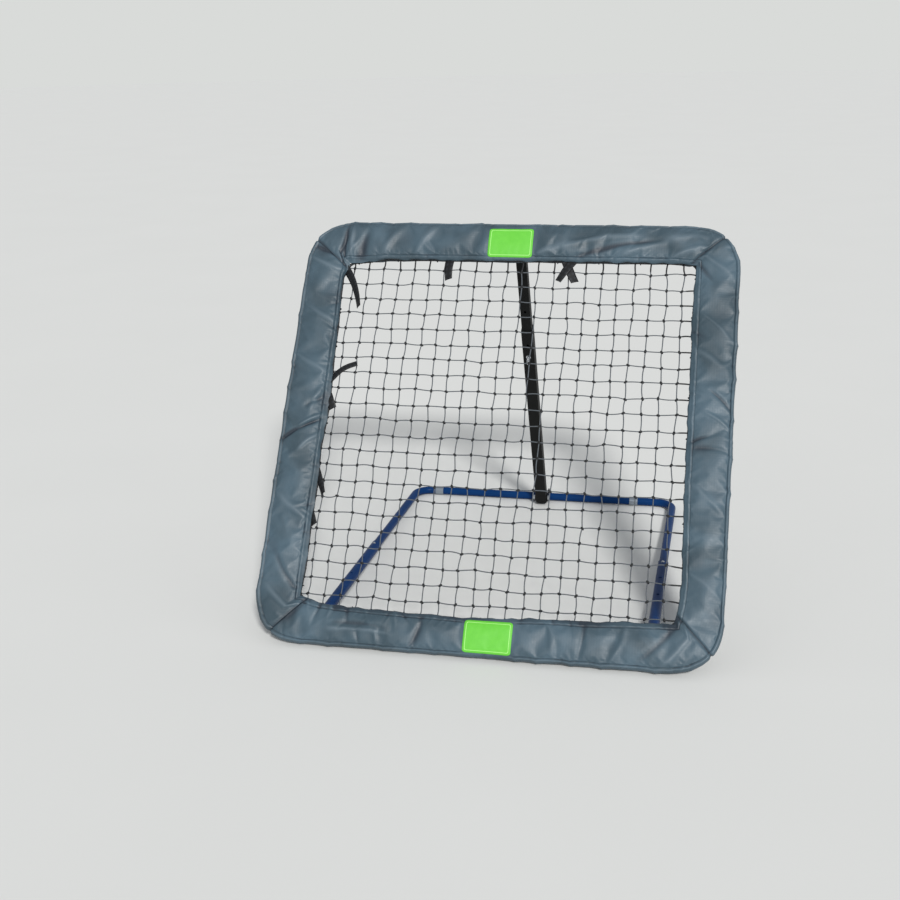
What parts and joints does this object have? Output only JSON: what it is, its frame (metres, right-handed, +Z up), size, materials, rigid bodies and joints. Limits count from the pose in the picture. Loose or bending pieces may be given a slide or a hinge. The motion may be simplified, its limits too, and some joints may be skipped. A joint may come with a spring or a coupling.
{
  "type": "pitch back rebounder",
  "caption": "Padded square rebound net leaning back on a U-shaped ground frame, propped by a telescopic pinned strut and adjustable in tilt.",
  "frame": {"origin": "on the floor, at the centre of the footprint", "axes": "+Z up, +Y away from the player, to the back of the ground frame, +X to the right as the player faces the net"},
  "size_m": [1.24, 1.2144, 1.0118],
  "materials": {
    "frame_steel": "powder coated steel tube, semi-gloss",
    "zinc_fastener": "bright zinc plated steel",
    "pad_vinyl": "PVC coated polyester, slate blue-grey, satin",
    "foam": "closed-cell polyethylene foam, pale grey",
    "label": "soft PVC patch, bright green, bare",
    "webbing": "woven polyester webbing, black",
    "net_cord": "knotted twisted nylon cord, dark grey",
    "border_rope": "braided polyester rope, black",
    "elastic_cord": "covered elastic cord, black",
    "bracket_black": "pressed steel, black powder coat",
    "leg_enamel": "steel tube, glossy navy enamel",
    "bush_plastic": "moulded polyamide, black",
    "collar_steel": "zinc plated steel sleeve",
    "spring_steel": "bent spring steel strip",
    "button_chrome": "nickel plated steel button",
    "strut_black": "square steel tube, satin black powder coat"
  },
  "bodies": {
    "base": {"front_leg_left": "leg_enamel", "front_leg_right": "leg_enamel", "leg_guide_bushes": "bush_plastic", "rear_leg_left": "leg_enamel", "rear_leg_right": "leg_enamel", "crossbar": "leg_enamel", "crossbar_collars": "collar_steel", "collar_screws": "zinc_fastener", "button_spring_left": "spring_steel", "button_spring_right": "spring_steel", "foot_bracket": "bracket_black", "clamp_bolt": "zinc_fastener", "clamp_nut": "zinc_fastener", "foot_bolt": "zinc_fastener", "foot_nut": "zinc_fastener"},
    "strut_lower": {"strut_outer_tube": "strut_black", "strut_guide_bush": "bush_plastic"},
    "strut_upper": {"strut_inner_tube": "strut_black", "strut_glide": "bush_plastic"},
    "lock_pin": {"lock_pin": "zinc_fastener"},
    "pull_ring": {"pull_ring": "zinc_fastener"},
    "snap_button_left": {"snap_button_left": "button_chrome"},
    "snap_button_right": {"snap_button_right": "button_chrome"},
    "panel": {"frame_corner_top_left": "frame_steel", "frame_corner_top_right": "frame_steel", "frame_corner_bottom_right": "frame_steel", "frame_corner_bottom_left": "frame_steel", "frame_top_tube": "frame_steel", "frame_bottom_tube": "frame_steel", "frame_left_tube": "frame_steel", "frame_right_tube": "frame_steel", "frame_screws": "zinc_fastener", "pad_top": "pad_vinyl", "pad_right": "pad_vinyl", "pad_bottom": "pad_vinyl", "pad_left": "pad_vinyl", "foam_top": "foam", "foam_right": "foam", "foam_bottom": "foam", "foam_left": "foam", "label_top": "label", "label_bottom": "label", "pad_ties": "webbing", "net": "net_cord", "net_border_rope": "border_rope", "net_elastic_loops": "elastic_cord", "head_bracket": "bracket_black", "head_bolt": "zinc_fastener", "head_nut": "zinc_fastener"}
  },
  "joints": [
    {"name": "panel_tilt", "type": "hinge", "parent": "base", "child": "panel", "pos_m": [0, -0.5624, 0.0538], "axis": [1, 0, 0], "range_deg": [-4.8, 13.2]},
    {"name": "strut_foot_pivot", "type": "hinge", "parent": "base", "child": "strut_lower", "pos_m": [0, 0.55514, 0.0233], "axis": [1, 0, 0], "range_deg": [-2.4, 6.6]},
    {"name": "strut_head_pivot", "type": "hinge", "parent": "panel", "child": "strut_upper", "pos_m": [0, 0.13137, 0.93043], "axis": [1, 0, 0], "range_deg": [-6.6, 2.4]},
    {"name": "lock_pin_pull", "type": "slide", "parent": "strut_lower", "child": "lock_pin", "axis": [0, -0.906, -0.4232], "range_m": [0, 0.05]},
    {"name": "pull_ring_swing", "type": "hinge", "parent": "lock_pin", "child": "pull_ring", "pos_m": [0, 0.26627, 0.58261], "axis": [0, -0.4232, 0.906], "range_deg": [-90, 90]},
    {"name": "snap_button_press_left", "type": "slide", "parent": "base", "child": "snap_button_left", "axis": [0, -0.0344, -0.9994], "range_m": [0, 0.005], "stiffness_N_per_m": 900, "springref_m": -0.002, "deforming": ["button_spring_left"]},
    {"name": "snap_button_press_right", "type": "slide", "parent": "base", "child": "snap_button_right", "axis": [0, -0.0344, -0.9994], "range_m": [0, 0.005], "stiffness_N_per_m": 900, "springref_m": -0.002, "deforming": ["button_spring_right"]}
  ],
  "couplings": [
    {"joint": "strut_foot_pivot", "follows": "panel_tilt", "ratio": 0.5},
    {"joint": "strut_head_pivot", "follows": "panel_tilt", "ratio": -0.5}
  ]
}
